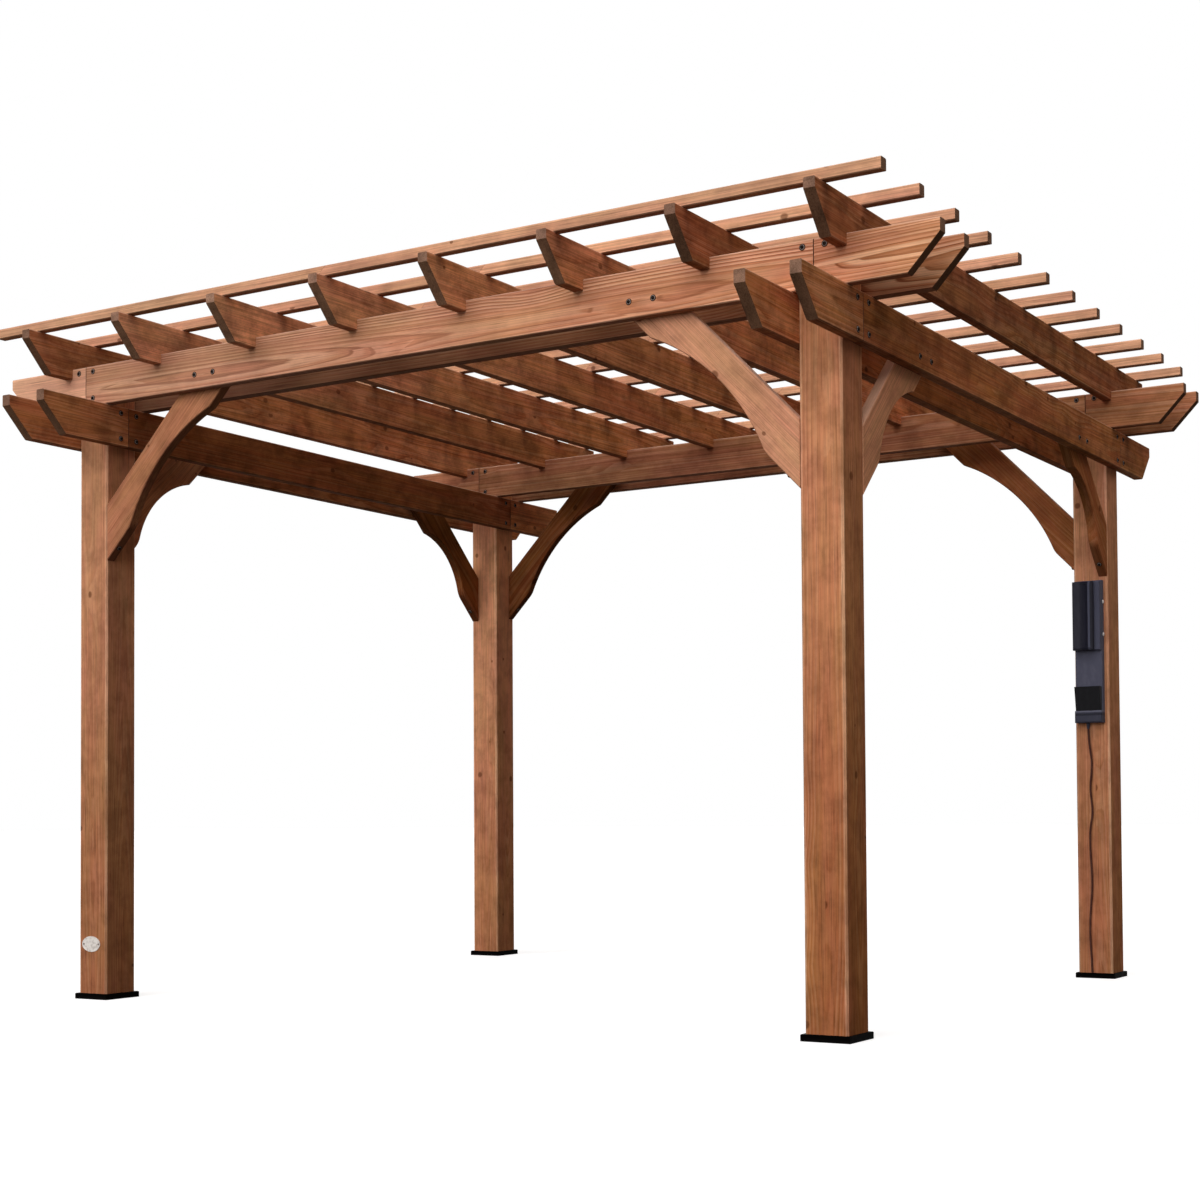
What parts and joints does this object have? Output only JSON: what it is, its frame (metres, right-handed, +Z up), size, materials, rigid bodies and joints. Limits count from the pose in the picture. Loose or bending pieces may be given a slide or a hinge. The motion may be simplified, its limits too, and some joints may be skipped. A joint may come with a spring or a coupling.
{
  "type": "wooden pergola",
  "caption": "Free-standing open timber pergola with doubled beams and headers, arched knee braces, notched rafters, slats and a post-mounted power unit, for shading a terrace.",
  "frame": {"origin": "on the ground, midway between the four posts", "axes": "+X along the headers to the right seen from the front, +Y towards the rear, +Z up"},
  "size_m": [3.65, 3.076, 2.379],
  "materials": {
    "post_wood": "stained cedar, sealed",
    "board_wood": "stained cedar, sealed",
    "rafter_wood": "stained cedar, sealed",
    "purlin_wood": "stained cedar, sealed",
    "brace_wood": "stained cedar, sealed",
    "foot_plate": "black powder coat",
    "unit_plastic": "matt charcoal",
    "hood_plastic": "satin charcoal",
    "pocket_plastic": "matt black",
    "lead_sheath": "matt dark sheath"
  },
  "bodies": {
    "root": {"foot_front_left": "foot_plate", "foot_front_right": "foot_plate", "foot_rear_left": "foot_plate", "foot_rear_right": "foot_plate", "front_header": "board_wood", "front_header_left_tails": "board_wood", "front_header_right_tails": "board_wood", "front_left_beam_brace": "brace_wood", "front_left_beam_tails": "board_wood", "front_left_header_brace": "brace_wood", "front_purlins_left": "purlin_wood", "front_purlins_right": "purlin_wood", "front_right_beam_brace": "brace_wood", "front_right_beam_tails": "board_wood", "front_right_header_brace": "brace_wood", "lead": "lead_sheath", "left_beam": "board_wood", "outlet_hood": "hood_plastic", "phone_pocket": "pocket_plastic", "post_front_left": "post_wood", "post_front_right": "post_wood", "post_rear_left": "post_wood", "post_rear_right": "post_wood", "power_housing": "unit_plastic", "rafter_1": "rafter_wood", "rafter_2": "rafter_wood", "rafter_3": "rafter_wood", "rafter_4": "rafter_wood", "rafter_5": "rafter_wood", "rafter_6": "rafter_wood", "rafter_7": "rafter_wood", "rafter_8": "rafter_wood", "rear_header": "board_wood", "rear_header_left_tails": "board_wood", "rear_header_right_tails": "board_wood", "rear_left_beam_brace": "brace_wood", "rear_left_beam_tails": "board_wood", "rear_left_header_brace": "brace_wood", "rear_purlins_left": "purlin_wood", "rear_purlins_right": "purlin_wood", "rear_right_beam_brace": "brace_wood", "rear_right_beam_tails": "board_wood", "rear_right_header_brace": "brace_wood", "right_beam": "board_wood"}
  },
  "joints": []
}
